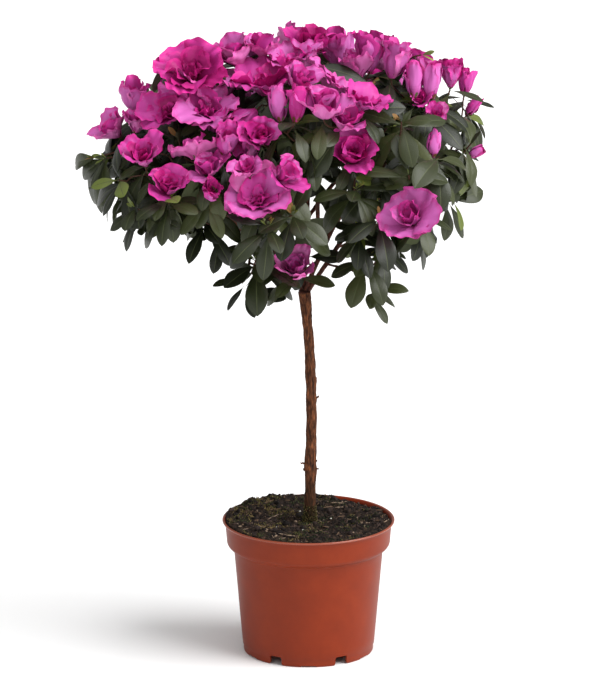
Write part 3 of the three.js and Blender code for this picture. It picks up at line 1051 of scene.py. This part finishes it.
def bloom_tone(shoot):
    """The row of PETAL_TONES for a bloom: one of the first three, but a paler one where it hangs low, as
    painted light for the crown's shade there.
    """
    tone = int(shoot.draws.choice(3, p=[0.05, 0.35, 0.6]))
    if shoot.tip[2] < MOST_PAINTED_LIGHT_BELOW:
        return 4
    if shoot.tip[2] < PAINTED_LIGHT_BELOW:
        return 3
    return 2 if shoot.kind == "wide" else tone


def add_bloom(shoot):
    """Fills in the petals and the small sepals of one bloom."""
    draws, size = shoot.draws, shoot.size
    tone = bloom_tone(shoot)
    turn = draws.uniform(0, 2 * math.pi)
    squash = draws.uniform(0.9, 1.1)
    for ring, (count, length, width, angles, cup, ruffle, paler) in enumerate(BLOOMS[shoot.kind]):
        for i in range(count):
            petal = (
                shoot.tip,
                shoot.axis,
                turn + 2 * math.pi * i / count + ring * 0.55 + draws.normal(0, 0.2 + 0.06 * ring),
                length * size * draws.uniform(0.78, 1.16),
                width * size * draws.uniform(0.8, 1.15) * squash,
                [math.radians(a + draws.normal(0, 13 if a > 19 else 3)) for a in angles],
                cup * draws.uniform(0.7, 1.2),
                ruffle * size * draws.uniform(0.7, 1.3),
                max(0.8, 2.6 - 0.5 * ring) * size,
                tone + paler + draws.integers(-1, 2) * (draws.random() < 0.3),
            )
            (inner_petals if ring else outer_petals).append(petal)
    foot = shoot.tip - 1.5 * shoot.axis
    angles = np.radians([40, 32, 30])
    for i in range(5):
        around = turn + 2 * math.pi * i / 5
        tone = int(draws.random() < 0.4)
        sepals.append((foot, shoot.axis, around, 7.5 * size, 3.6 * size, angles, 0.5, 0.1, 1.6 * size, tone))


def along_petal(length, angles, share):
    """How far out and how high the middle of a petal lies at shares of its length, and its angle there."""
    stations = np.linspace(0, 1, 25)
    steps = len(stations) - 1
    tilt = np.stack([np.interp(stations, [0, 0.45, 1], a) for a in angles])
    between = (tilt[:, 1:] + tilt[:, :-1]) / 2
    start = np.zeros((len(tilt), 1))
    step = length[:, 0] / steps
    out = np.concatenate([start, np.cumsum(np.sin(between) * step, 1)], 1)
    high = np.concatenate([start, np.cumsum(np.cos(between) * step, 1)], 1)
    at = np.clip(share, 0, 1) * steps
    low = np.minimum(at.astype(int), steps - 1)
    petal = np.arange(len(tilt))[:, None, None]
    return [v[petal, low] + (v[petal, low + 1] - v[petal, low]) * (at - low) for v in (out, high, tilt)]


def petal_relief(u, v, share, around, margin, phase, pitch, fine):
    """How high the waves, frills and pleats of a petal stand, against the depth of its ruffles."""
    broad = np.sin(2.4 * pitch[0] * around + 2.2 * u + phase[0])
    ripple = np.sin(4.6 * pitch[1] * around + phase[1]) * margin
    frill = np.sin(fine * pitch[1] * around + phase[2]) * margin**3
    pleats = np.sin(0.9 * fine * v + phase[5]) * u * (1 - 0.5 * margin)
    crumple = np.sin(7 * pitch[2] * share + 5 * v + phase[3]) * np.sin(6 * pitch[0] * v - 4 * u + phase[4])
    return 0.5 * broad * u**1.5 + 0.36 * ripple + 0.42 * frill + 0.2 * pleats + 0.3 * crumple * u


def petal_zones(u, edge):
    """The zone of each face of a petal, counted from its foot to its middle and on to its margin."""
    between = (u[1:] + u[:-1]) / 2
    up_foot = np.clip(between / 0.42, 0, 1) * ZONE_STEPS
    out_there = edge[1:, 1:] / 2 + edge[:-1, :-1] / 2
    to_margin = np.clip((out_there - 0.72) / 0.2, 0, 1) * ZONE_STEPS * (between > 0.3)
    return np.round(np.where(to_margin > 0, ZONE_STEPS + to_margin, up_foot)).astype(int)


def petal_grids(rows_of_petals, rows, columns, toned=True):
    """A ruffled sheet for each petal, and the tone of each of its faces.

    Up to its widest place a petal spreads from its foot. Beyond it the grid bends into half an ellipse.
    """
    base, axis, turn, length, width, angles, cup, ruffle, foot, tone = map(np.array, zip(*rows_of_petals))
    turn, length, width, cup, ruffle, foot, tone = (
        a[:, None, None] for a in (turn, length, width, cup, ruffle, foot, tone)
    )
    count = len(base)
    phase = [rng.uniform(0, 2 * math.pi, (count, 1, 1)) for _ in range(6)]
    pitch = [rng.uniform(0.8, 1.25, (count, 1, 1)) for _ in range(3)]
    fine = 0.5 * columns
    u = np.linspace(0, 1, rows)[None, :, None] * np.ones((count, 1, 1))
    v = np.linspace(-1, 1, columns)[None, None, :]
    low = smooth_step(u / WIDEST) * (1 - FOOT_WIDTH) + FOOT_WIDTH
    s = np.clip((u - WIDEST) / (1 - WIDEST), 0, 1)
    x = v * np.where(s > 0, np.sqrt(1 - s**2 / 2), low)
    y = s * np.sqrt(1 - v**2 / 2)
    around = np.arctan2(x, y + 1e-6)
    edge = np.hypot(x * np.sqrt(low), y)
    margin = smooth_step((edge - 0.35) / 0.65)
    point = 0.12 * rng.random((count, 1, 1)) * np.exp(-((around / 0.45) ** 2))
    scallops = 0.055 * np.sin(3.1 * pitch[2] * around + phase[3])
    scallops = scallops + 0.03 * np.sin(fine * pitch[1] * around + phase[4])
    wavy = 1 + margin * (scallops + point)
    share = np.where(s > 0, WIDEST + (1 - WIDEST) * y * wavy, u)
    half = 0.5 * width * np.where(s > 0, np.abs(x / np.where(v == 0, 1, v)) * wavy, low)
    lift = ruffle * petal_relief(u, v, share, around, margin, phase, pitch, fine)
    lift = lift + half * (1 - np.cos(cup * v)) / cup
    across = half * np.sin(cup * v) / cup + 0.07 * length * u**2 * np.sin(phase[3])
    out, high, tilt = along_petal(length, angles, share)
    out = foot + out - np.cos(tilt) * lift
    high = high + np.sin(tilt) * lift
    side, other = across_of(axis, np.array([0.3, 0.2, 0.9]))
    base, side, other, axis = (a[:, None, None] for a in (base, side, other, axis))
    cos, sin = np.cos(turn)[..., None], np.sin(turn)[..., None]
    outward = cos * side + sin * other
    tangent = -sin * side + cos * other
    grid = base + out[..., None] * outward + across[..., None] * tangent + high[..., None] * axis
    tones = tone * np.ones((1, rows - 1, columns - 1), int)
    if toned:
        tones = ZONES * np.clip(tones, 0, len(PETAL_TONES) - 1) + petal_zones(u[0], edge[0])
    return grid, tones


def backs_of(grid, tones):
    """The back of each petal: a second skin just behind it, one tone paler."""
    normal = np.cross(np.gradient(grid, axis=2), np.gradient(grid, axis=1))
    behind = grid + 0.3 * unit(normal)
    edge = np.zeros(grid.shape[1:3], bool)
    edge[-1] = edge[:, 0] = edge[:, -1] = True
    behind[:, edge] = grid[:, edge]
    paler = np.minimum(tones + ZONES, ZONES * (len(PETAL_TONES) - 1) + tones % ZONES)
    return behind[:, :, ::-1], paler[:, :, ::-1]


# ---------------------------------------------------------------- pot

LIP_RADIUS, _, POT_HEIGHT = np.array(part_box("pot")[1]) / MM
LIP_THICKNESS = 1.9
POT_WALL = 1.3
COLLAR_TOP_RADIUS = LIP_RADIUS - 2.6
COLLAR_LOW_RADIUS = LIP_RADIUS - 3.9
COLLAR_LOW = POT_HEIGHT - 19.0
SHOULDER = POT_HEIGHT - 25.5
WALL_TOP_RADIUS = LIP_RADIUS - 10.2
FOOT_RADIUS = 56.8
FLOOR_HEIGHT = 9.0
HUB_RADIUS = 20.0
POT_SIDES = 144
GAPS = (11.2, 8.0, 1.4, 2.3)  # the gaps in the foot: width, height, rounding at the top, flare at the ground
STEPS = (13.0, 1.2, 0.4, 0.8)  # the shallow steps between them


def arc(middle, radius, start, end, count):
    """Points of an arc in the plane of radius and height, with angles in degrees from outwards."""
    x, z = middle
    angles = np.radians(np.linspace(start, end, count))
    return [(x + radius * math.cos(a), z + radius * math.sin(a)) for a in angles]


def straight(start, end, count):
    """Evenly spaced points of a straight line."""
    start, end = np.array(start), np.array(end)
    return [tuple(start + (end - start) * t) for t in np.linspace(0, 1, count)]


def pot_profile():
    """The pot's section from the middle of its underside, up the outside and down the inside."""
    top = POT_HEIGHT
    fillet = 5.5
    edge = LIP_THICKNESS / 2
    foot_inside = FOOT_RADIUS - POT_WALL - 0.6
    collar_inside = (COLLAR_TOP_RADIUS - POT_WALL, top - 5.0), (COLLAR_LOW_RADIUS - POT_WALL, COLLAR_LOW)
    return [
        (HUB_RADIUS - 1.0, 0.0),
        (HUB_RADIUS, 0.6),
        (HUB_RADIUS + 2.0, FLOOR_HEIGHT - 0.4),
        (HUB_RADIUS + 3.5, FLOOR_HEIGHT),
        (foot_inside - 2.0, FLOOR_HEIGHT),
        (foot_inside, FLOOR_HEIGHT - 1.0),
        (foot_inside, 0.5),
        *arc((FOOT_RADIUS - 1.2, 0.9), 0.9, 250, 340, 4),
        (FOOT_RADIUS, 3.0),
        (FOOT_RADIUS + 0.1, 6.0),
        *straight((FOOT_RADIUS + 0.6, 6.6), (WALL_TOP_RADIUS, SHOULDER - 1.5), 12),
        (WALL_TOP_RADIUS + 0.35, SHOULDER - 0.2),
        *arc((COLLAR_LOW_RADIUS - fillet, COLLAR_LOW), fillet, 282, 360, 9),
        *straight((COLLAR_LOW_RADIUS + 0.1, COLLAR_LOW + 2), (COLLAR_TOP_RADIUS, top - 4.2), 6),
        (COLLAR_TOP_RADIUS + 0.5, top - 2.9),
        (LIP_RADIUS - 1.6, top - LIP_THICKNESS - 0.2),
        *arc((LIP_RADIUS - edge, top - edge), edge, -85, 100, 7),
        (LIP_RADIUS - 2.2, top - 0.5),
        (LIP_RADIUS - 3.6, top - 2.4),
        *straight(*collar_inside, 4),
        (WALL_TOP_RADIUS - POT_WALL + 1.0, SHOULDER),
        (WALL_TOP_RADIUS - POT_WALL - 1.0, top - 45),
    ]


def closed_mesh(name, points, faces):
    """An object from points in millimetres and faces with any number of corners."""
    mesh = bpy.data.meshes.new(name)
    mesh.from_pydata([tuple(p) for p in points * MM], [], [tuple(f) for f in faces])
    return place_object(name, mesh)


def foot_cutter(size, degrees):
    """A block for one gap in the foot, with rounded inner corners and edges that flare at the ground."""
    width, height, rounding, flare = size
    half = width / 2
    section = [
        (half + flare, -3.0),
        *arc((half + flare, flare), flare, 270, 180, 5),
        *arc((half - rounding, height - rounding), rounding, 0, 90, 5),
    ]
    outline = section + [(-x, z) for x, z in reversed(section)]
    points = np.array([(r, x, z) for r in (FOOT_RADIUS - 9, FOOT_RADIUS + 4) for x, z in outline])
    a = math.radians(degrees)
    turn = np.array([[math.cos(a), math.sin(a), 0], [-math.sin(a), math.cos(a), 0], [0, 0, 1]])
    n = len(outline)
    sides = [(i, (i + 1) % n, n + (i + 1) % n, n + i) for i in range(n)]
    return closed_mesh("cutter", points @ turn, [range(n)[::-1], range(n, 2 * n), *sides])


def pot_piece(material, lip_highlight_material):
    """The pot as a turned shell with gaps cut through its foot, and a glossier lip whose lighter colour is a
    painted highlight.
    """
    radius, height = np.array(pot_profile()).T[..., None]
    angle = round_angles(POT_SIDES)
    skin = np.stack([radius * np.cos(angle), radius * np.sin(angle), height * np.ones(POT_SIDES)], -1)
    points, faces = skin_over(skin, closed=True)
    ends = [range(POT_SIDES)[::-1], range(len(points) - POT_SIDES, len(points))]
    pot = closed_mesh("pot_shell", points, [*faces, *ends])
    pot.data.materials.append(material)
    cutters = [foot_cutter(GAPS, 60 * i) for i in range(6)]
    cutters += [foot_cutter(STEPS, 60 * i + 30) for i in range(6)]
    for cutter in cutters:
        cut = pot.modifiers.new("cut", "BOOLEAN")
        cut.operation, cut.object, cut.solver = "DIFFERENCE", cutter, "EXACT"
    evaluated = pot.evaluated_get(bpy.context.evaluated_depsgraph_get())
    finished = bpy.data.meshes.new_from_object(evaluated)
    pot.modifiers.clear()
    pot.data = finished
    for cutter in cutters:
        bpy.data.objects.remove(cutter)
    finished.polygons.foreach_set("use_smooth", np.ones(len(finished.polygons), bool))
    finished.set_sharp_from_angle(angle=math.radians(38))
    finished.materials.append(lip_highlight_material)
    for face in finished.polygons:
        x, y, z = face.center / MM
        if z > POT_HEIGHT - LIP_THICKNESS - 0.5 and math.hypot(x, y) > LIP_RADIUS - 2.6:
            face.material_index = 1
    put_on(pot, ["pot"])


# ---------------------------------------------------------------- soil

SOIL_RADIUS = LIP_RADIUS - 3.0
SOIL_MIDDLE = 114.6
SOIL_RINGS = 74
SOIL_SIDES = 200
CRUMBS = 1250
BARK_STRIPS = 520
MOSS_PLACES = 12000
STEM_MOSS = 1500
STEM_MOSS_HEIGHT = 15.0  # how far moss climbs the foot of the stem
CRUMB_TONES = ["#17110F", "#2A201D", "#43342E", "#65503F", "#8C7765"]
MOSS_TONES = ["#222B18", "#343D20", "#4C4D28", "#6C5F33", "#83704A"]
PERLITE = "#D9D6CE"


def soil_height(x, y):
    """The height of the peat: up to the lip, heaped over it at the back left and sunk at the back right."""
    out = math.hypot(x, y) / SOIL_RADIUS
    back_left = max(0.0, (-0.8 * x + 0.6 * y) / SOIL_RADIUS)
    back_right = max(0.0, (0.75 * x + 0.66 * y) / SOIL_RADIUS)
    rise = 3.3 * smooth_step(out / 0.95) + 2.6 * back_left**1.5 * out - 3.0 * back_right**2 * out**2
    lumps = 2.4 * noise.fractal(Vector((x / 11, y / 11, 3.1)), 0.9, 2.1, 4)
    clods = 2.1 * noise.fractal(Vector((x / 3.2, y / 3.2, 7.7)), 0.8, 2.2, 3)
    near_stem = math.exp(-((x - stem_path[0][0]) ** 2 + (y - stem_path[0][1]) ** 2) / 90)
    return SOIL_MIDDLE + rise + (lumps + clods) * (1 - 0.65 * near_stem)


def on_soil(x, y):
    """Points on the peat at places across it."""
    return np.stack([x, y, np.vectorize(soil_height)(x, y)], -1)


def inside_radius(z):
    """The radius of the pot's inner face near its mouth."""
    heights = [COLLAR_LOW, POT_HEIGHT - 5, POT_HEIGHT - 2.4, POT_HEIGHT - 0.5, POT_HEIGHT + 5]
    walls = [COLLAR_LOW_RADIUS - POT_WALL, COLLAR_TOP_RADIUS - POT_WALL]
    return np.interp(z, heights, [*walls, LIP_RADIUS - 3.6, LIP_RADIUS - 2.2, LIP_RADIUS - 1.6])


def soil_piece(material):
    """The peat's uneven surface inside the pot's wall, with a skirt down to the collar's foot."""
    radius = SOIL_RADIUS * np.linspace(0.001, 1, SOIL_RINGS)[:, None] ** 0.9
    angle = round_angles(SOIL_SIDES)
    x, y = radius * np.cos(angle), radius * np.sin(angle)
    grid = on_soil(x, y)
    grid[..., :2] *= np.minimum(1, (inside_radius(grid[..., 2]) - 0.3) / np.hypot(x, y))[..., None]
    inside = (COLLAR_LOW_RADIUS - POT_WALL - 0.3) / SOIL_RADIUS
    skirt = np.stack([x[-1] * inside, y[-1] * inside, np.full(SOIL_SIDES, COLLAR_LOW)], -1)
    skin = skin_over(np.concatenate([grid, skirt[None]]), closed=True)
    put_on(add_mesh("soil_surface", skin, [material]), ["soil"])


def scattered(count):
    """Places over the peat, as far as just inside the pot's wall."""
    r = (SOIL_RADIUS - 1.0) * rng.random(count) ** 0.5
    a = rng.uniform(0, 2 * math.pi, count)
    return on_soil(r * np.cos(a), r * np.sin(a))


def lumps(size, stretch, slope, tones):
    """Small uneven lumps strewn over the peat, each a closed ring drawn out and tipped by its slope."""
    count = len(size)
    place = scattered(count)
    theta = np.linspace(0, math.pi, 5)[None, :, None]
    phi = np.linspace(0, 2 * math.pi, 7)[None, None, :]
    bumpy = 1 + 0.22 * rng.standard_normal((count, 5, 7))
    bumpy[:, :, -1] = bumpy[:, :, 0]
    long = np.sin(theta) * np.cos(phi) * stretch[:, None, None]
    wide = np.sin(theta) * np.sin(phi) * np.ones((count, 1, 1))
    high = np.cos(theta) * 0.8 + slope[:, None, None] * long
    long, wide, high = np.stack([long, wide, high]) * (bumpy * size[:, None, None])
    turn = rng.uniform(0, 2 * math.pi, count)
    cos, sin = np.cos(turn)[:, None, None], np.sin(turn)[:, None, None]
    grid = np.stack([long * cos - wide * sin, long * sin + wide * cos, high], -1) + place[:, None, None]
    within = np.hypot(grid[..., 0], grid[..., 1]).max((1, 2)) <= SOIL_RADIUS + 0.5
    return grid[within], np.repeat(tones[within, None, None], 4, 1).repeat(6, 2)


def crumbs():
    """Peat crumbs with a few white grains among them, and thin strips of bark."""
    size = rng.lognormal(-0.15, 0.5, CRUMBS).clip(0.35, 2.8)
    tones = rng.choice(len(CRUMB_TONES), CRUMBS, p=[0.34, 0.3, 0.2, 0.11, 0.05])
    tones = np.where(size > 1.3, tones // 2, tones)
    tones[(rng.random(CRUMBS) < 0.012) & (size < 1.2)] = len(CRUMB_TONES)
    round_ones = lumps(size, rng.uniform(1.0, 1.6, CRUMBS), np.zeros(CRUMBS), tones)
    size = rng.uniform(0.35, 0.75, BARK_STRIPS)
    tones = rng.choice(len(CRUMB_TONES), BARK_STRIPS, p=[0.12, 0.24, 0.34, 0.22, 0.08])
    strips = lumps(size, rng.uniform(4, 11, BARK_STRIPS), rng.normal(0, 0.12, BARK_STRIPS), tones)
    return [round_ones, strips]


def tufts(place, way, length, tones):
    """Blades of moss: narrow tapering strips that bend over."""
    side, _ = across_of(way, rng.standard_normal(place.shape))
    u = np.linspace(0, 1, 3)[None, :, None, None]
    v = np.array([-1.0, 1.0])[None, None, :, None]
    wide = 0.38 * (1.05 - u)
    bend = -0.2 * u**2 * UP
    grid = place[:, None, None] + length[:, None, None, None] * (way[:, None, None] * u + bend)
    grid = grid + side[:, None, None] * v * wide
    return grid, np.repeat(tones[:, None, None], 2, 1)


def patches(place, size, seed):
    """A value for each place that wanders above and below nothing, over patches of a size."""
    return np.array([noise.noise(Vector((x / size, y / size, seed))) for x, y, _ in place])


def moss():
    """Short moss in patches, thickest at the left and ochre in places, and moss round the stem's foot."""
    place = scattered(MOSS_PLACES)
    left = -place[:, 0] / SOIL_RADIUS
    place = place[patches(place, 13, 1.7) + 0.25 * left > 0.03]
    count = len(place)
    dry = patches(place, 17, 5.2) - 0.35 * place[:, 0] / SOIL_RADIUS
    tones = np.round(1.6 + 4 * dry + 0.7 * rng.standard_normal(count))
    tones = np.clip(tones, 0, len(MOSS_TONES) - 1).astype(int)
    way = unit(rng.standard_normal((count, 3)) * 0.55 + UP)
    on_peat = tufts(place, way, rng.uniform(1.2, 3.0, count), tones)
    height = SOIL_MIDDLE + STEM_MOSS_HEIGHT * rng.random(STEM_MOSS) ** 1.6
    angle = rng.uniform(0, 2 * math.pi, STEM_MOSS)
    out = np.stack([np.cos(angle), np.sin(angle), np.zeros(STEM_MOSS)], 1)
    place = at_height(stem_path, height)
    place[:, 2] = height
    place += out * np.interp(height, stem_path[:, 2], stem_radii)[:, None]
    way = unit(out + 0.8 * UP + 0.4 * rng.standard_normal((STEM_MOSS, 3)))
    length = rng.uniform(0.8, 1.8, STEM_MOSS)
    return [on_peat, tufts(place, way, length, rng.integers(1, 5, STEM_MOSS))]


# ---------------------------------------------------------------- assembly

BARK_TONES = ["#20130D", "#412618", "#613B27", "#8A5232"]
BOUGH_TONES = ["#2A1610", "#45231A", "#603426"]
POT_TONES = ["#76270B", "#7B290C", "#802C0D"]
PEAT_TONES = ["#0D0A08", "#1C1511", "#33271F", "#4B3B2E"]

bark_material = mottled_material("bark", BARK_TONES, 1.7, 5.0, (0.7, 0.92), (0.6, 0.9), 0.12)
darken_foot(bark_material, "#211C13", 112, 158)
bough_material = mottled_material("bough_bark", BOUGH_TONES, 2.0, 2.5, (0.6, 0.85), (0.8, 0.6))
twig_material = plain_material("twig", "#4A2C1E", 0.65, 0.4, (0.8, 0.5))
pot_material = mottled_material("pot_plastic", POT_TONES, 26.0, 1.0, (0.4, 0.48), (0.5, 0.05))
# The lip's gloss is the plastic's own; its colour, lighter than the pot's, is a painted highlight along the
# rim.
lip_highlight_material = plain_material("pot_lip_painted_highlight", "#8A3A1C", 0.28, 0.7)
soil_material = mottled_material("peat", PEAT_TONES, 3.5, 1.0, (0.85, 1.0), (0.9, 1.0))

leaf_materials = [
    *plain_materials("leaf", LEAF_GREENS, 0.38, 0.4, (1.0, 0.6)),
    *plain_materials("leaf_young", YOUNG_GREENS, 0.45, 0.4, (1.2, 0.3)),
    plain_material("leaf_bud_scales", BUD_SCALES, 0.7, 0.3, (0.8, 0.4)),
    *plain_materials("leaf_back", LEAF_BACKS, 0.7, 0.25, (0.8, 0.4)),
    plain_material("leaf_midrib", MIDRIB, 0.5, 0.4, (0.6, 0.3)),
]


def petal_material(level, step):
    """One of the steps between the three tones of a petal."""
    colours = np.array([linear(colour) for colour in PETAL_TONES[level]])
    material = plain_material(f"petal_{level}_{step}", PETAL_TONES[level][0], 0.5, 0.25, (0.9, 0.3))
    mixed = [np.interp(step / ZONE_STEPS, [0, 1, 2], channel) for channel in colours.T]
    set_inputs(shader_of(material), {"Base Color": mixed})
    return material


petal_materials = [petal_material(level, step) for level in range(len(PETAL_TONES)) for step in range(ZONES)]
sepal_materials = plain_materials("sepal", SEPAL_TONES, 0.6, 0.4, (0.8, 0.3))
crumb_materials = plain_materials("crumb", CRUMB_TONES, 0.95, 0.3, (0.5, 0.8))
crumb_materials.append(plain_material("perlite", PERLITE, 0.9, 0.3, (0.4, 0.8)))
moss_materials = plain_materials("moss", MOSS_TONES, 0.85, 0.3, (0.5, 0.5))

stem_piece(bark_material)
limb_pieces(bough_material, twig_material)
add_pieces("leaves", leaf_materials, mass_nodes, leaf_batches())
for shoot in shoots:
    if shoot.blooms:
        add_bloom(shoot)
outer = petal_grids(outer_petals, 13, 21)
petals = [outer, backs_of(*outer), petal_grids(inner_petals, 9, 11)]
add_pieces("petals", petal_materials, mass_nodes, petals)
add_pieces("sepals", sepal_materials, mass_nodes, [petal_grids(sepals, 5, 5, toned=False)])
pot_piece(pot_material, lip_highlight_material)
soil_piece(soil_material)
add_pieces("peat_crumbs", crumb_materials, ["soil"], crumbs())
add_pieces("moss", moss_materials, ["soil"], moss())

FLOOR_REACH = 9000.0
floor = FLOOR_REACH * np.array([[-1, -1, 0], [1, -1, 0], [1, 1, 0], [-1, 1, 0]]), np.array([[0, 1, 2, 3]])
add_mesh("floor", floor, [plain_material("floor", "#FAFAFA", 0.9, 0.2)])
